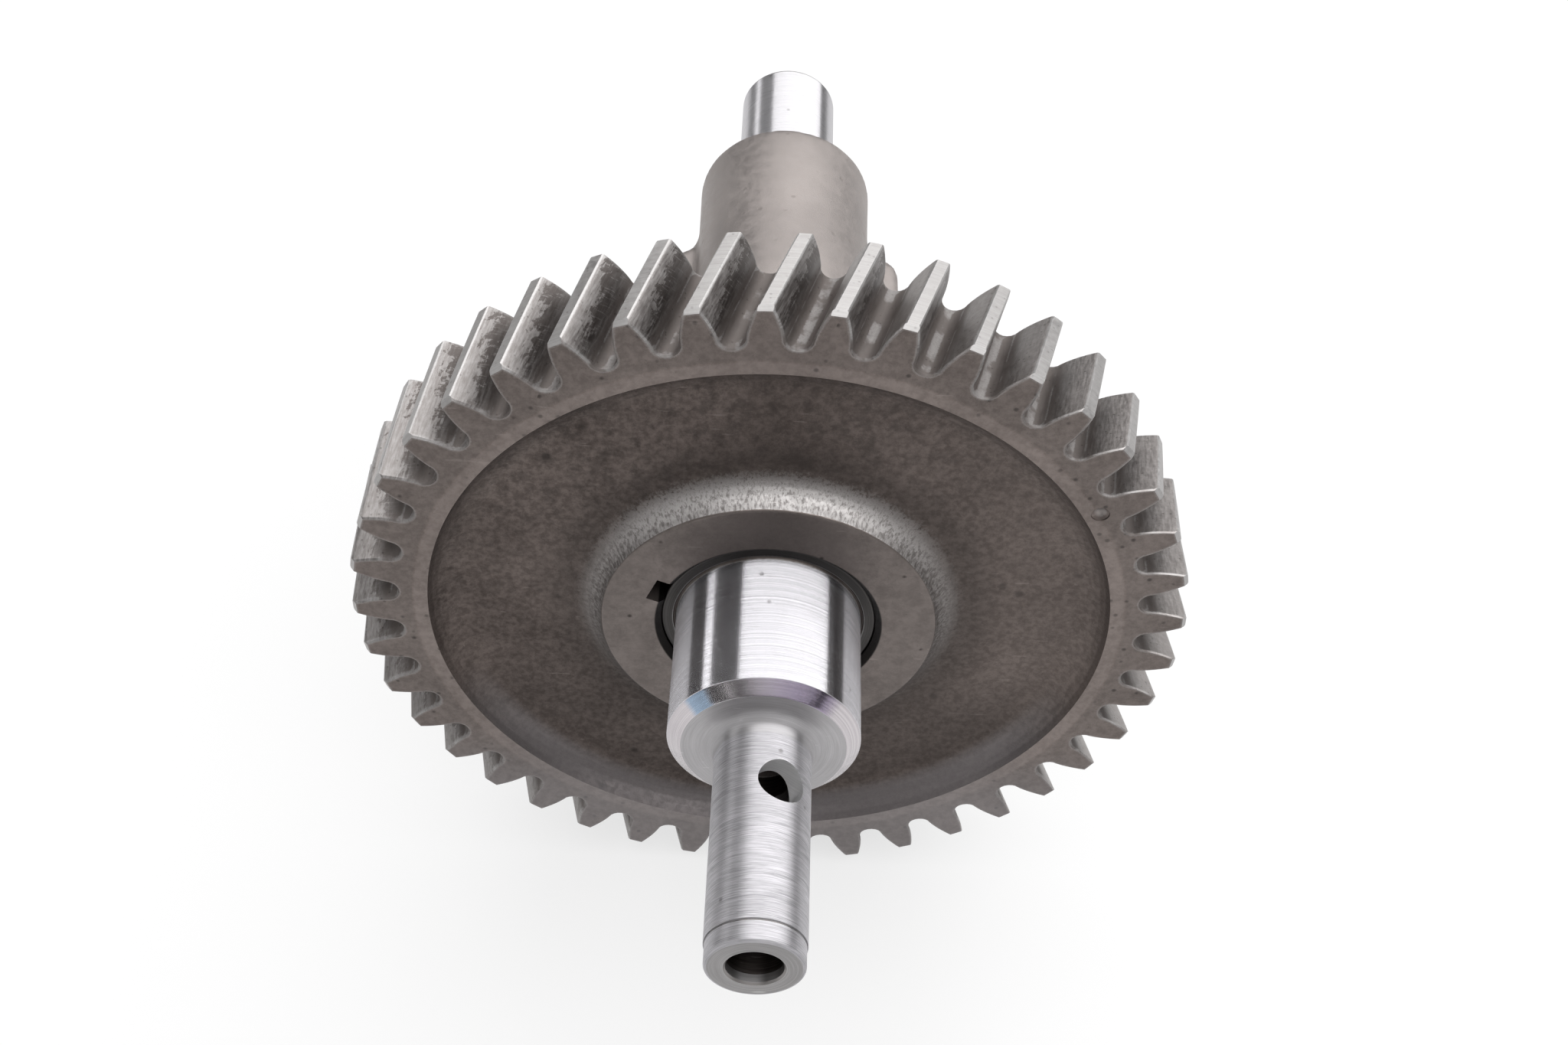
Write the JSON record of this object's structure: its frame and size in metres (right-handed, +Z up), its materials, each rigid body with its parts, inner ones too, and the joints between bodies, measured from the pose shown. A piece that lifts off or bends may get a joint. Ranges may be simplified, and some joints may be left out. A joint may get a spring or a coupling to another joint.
{
  "type": "balance shaft",
  "caption": "Steel engine balance shaft with ground journals, a drilled oil stub, a pressed-on helical gear with dished web and a half-round counterweight.",
  "frame": {"origin": "middle of the front journal, on the shaft's axis", "axes": "+Y runs along the shaft from the drilled stub to the rear journal, +Z is up, and the counterweight hangs toward -Z"},
  "size_m": [0.1122, 0.1736, 0.1122],
  "materials": {
    "forged_shaft": "as forged, with ground journals",
    "gear_steel": "as forged web, machined teeth",
    "key_steel": "drawn bar"
  },
  "bodies": {
    "root": {"balance_shaft": "forged_shaft", "drive_gear": "gear_steel", "gear_key": "key_steel"}
  },
  "joints": []
}
